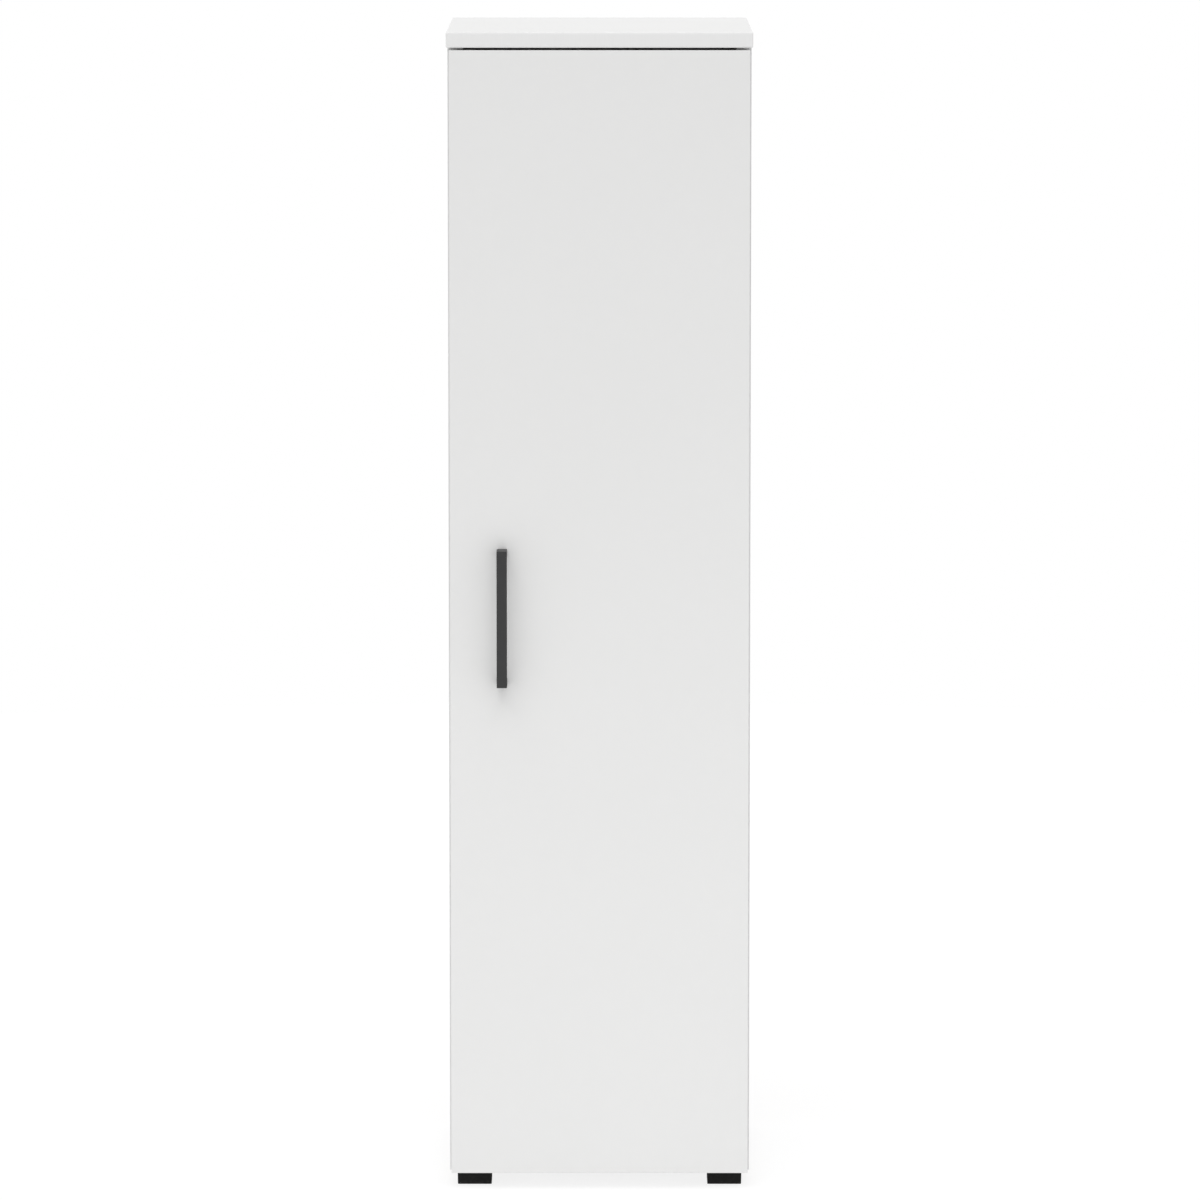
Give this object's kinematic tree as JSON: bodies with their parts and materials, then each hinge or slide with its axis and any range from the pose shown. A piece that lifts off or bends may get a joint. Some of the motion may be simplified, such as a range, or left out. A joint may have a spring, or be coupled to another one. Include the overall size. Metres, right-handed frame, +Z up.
{
  "type": "storage cabinet",
  "caption": "Tall narrow floor-standing storage cabinet with an overlay door on concealed hinges, a bar handle, inner shelves and block feet.",
  "frame": {"origin": "on the floor in the middle of the cabinet's whole footprint, handle included", "axes": "+Z up along the height, -Y towards the viewer out of the door, +X towards the hinged side"},
  "size_m": [0.375, 0.429, 1.435],
  "materials": {
    "white_melamine_board": "satin",
    "brown_hardboard": "matte",
    "black_painted_metal": "satin",
    "black_plastic": "matte",
    "plated_steel": "satin",
    "cast_zinc": "matte",
    "clear_rubber": "satin"
  },
  "bodies": {
    "carcass": {"adjustable_shelf_lower": "white_melamine_board", "adjustable_shelf_upper": "white_melamine_board", "back_panel": "brown_hardboard", "bottom_panel": "white_melamine_board", "cam_connector_bottom_left_front": "cast_zinc", "cam_connector_bottom_left_rear": "cast_zinc", "cam_connector_bottom_right_front": "cast_zinc", "cam_connector_bottom_right_rear": "cast_zinc", "cam_connector_shelf_left_front": "cast_zinc", "cam_connector_shelf_left_rear": "cast_zinc", "cam_connector_shelf_right_front": "cast_zinc", "cam_connector_shelf_right_rear": "cast_zinc", "cam_connector_top_left_front": "cast_zinc", "cam_connector_top_left_rear": "cast_zinc", "cam_connector_top_right_front": "cast_zinc", "cam_connector_top_right_rear": "cast_zinc", "fixed_shelf": "white_melamine_board", "foot_front_left": "black_plastic", "foot_front_right": "black_plastic", "foot_rear_left": "black_plastic", "foot_rear_right": "black_plastic", "foot_screw_front_left": "plated_steel", "foot_screw_front_right": "plated_steel", "foot_screw_rear_left": "plated_steel", "foot_screw_rear_right": "plated_steel", "hinge_arm_lower": "plated_steel", "hinge_arm_middle": "plated_steel", "hinge_arm_screw_lower": "plated_steel", "hinge_arm_screw_middle": "plated_steel", "hinge_arm_screw_upper": "plated_steel", "hinge_arm_upper": "plated_steel", "hinge_plate_lower": "plated_steel", "hinge_plate_middle": "plated_steel", "hinge_plate_upper": "plated_steel", "shelf_support_lower_left_front": "plated_steel", "shelf_support_lower_left_rear": "plated_steel", "shelf_support_lower_right_front": "plated_steel", "shelf_support_lower_right_rear": "plated_steel", "shelf_support_upper_left_front": "plated_steel", "shelf_support_upper_left_rear": "plated_steel", "shelf_support_upper_right_front": "plated_steel", "shelf_support_upper_right_rear": "plated_steel", "side_panel_left": "white_melamine_board", "side_panel_right": "white_melamine_board", "top_panel": "white_melamine_board"},
    "rear_links": {"hinge_rear_link_lower": "plated_steel", "hinge_rear_link_middle": "plated_steel", "hinge_rear_link_upper": "plated_steel"},
    "door": {"door_bumper_lower": "clear_rubber", "door_bumper_upper": "clear_rubber", "door_panel": "white_melamine_board", "handle": "black_painted_metal", "handle_screw_lower": "plated_steel", "handle_screw_upper": "plated_steel", "hinge_cup_lower": "plated_steel", "hinge_cup_middle": "plated_steel", "hinge_cup_upper": "plated_steel"},
    "front_links": {"hinge_front_link_lower": "plated_steel", "hinge_front_link_middle": "plated_steel", "hinge_front_link_upper": "plated_steel"}
  },
  "joints": [
    {"name": "rear_link_pivot", "type": "hinge", "parent": "carcass", "child": "rear_links", "pos_m": [0.1552, -0.15605, 0.802], "axis": [0, 0, 1], "range_deg": [-25.66, 0]},
    {"name": "door_hinge", "type": "hinge", "parent": "rear_links", "child": "door", "pos_m": [0.1755, -0.16925, 0.802], "axis": [0, 0, 1], "range_deg": [0, 120.65]},
    {"name": "front_link_pivot", "type": "hinge", "parent": "door", "child": "front_links", "pos_m": [0.1753, -0.1745, 0.802], "axis": [0, 0, 1], "range_deg": [-109.26, 0]}
  ],
  "couplings": [
    {"joint": "rear_link_pivot", "follows": "door_hinge", "ratio": -0.2126},
    {"joint": "front_link_pivot", "follows": "door_hinge", "ratio": -0.90551}
  ]
}
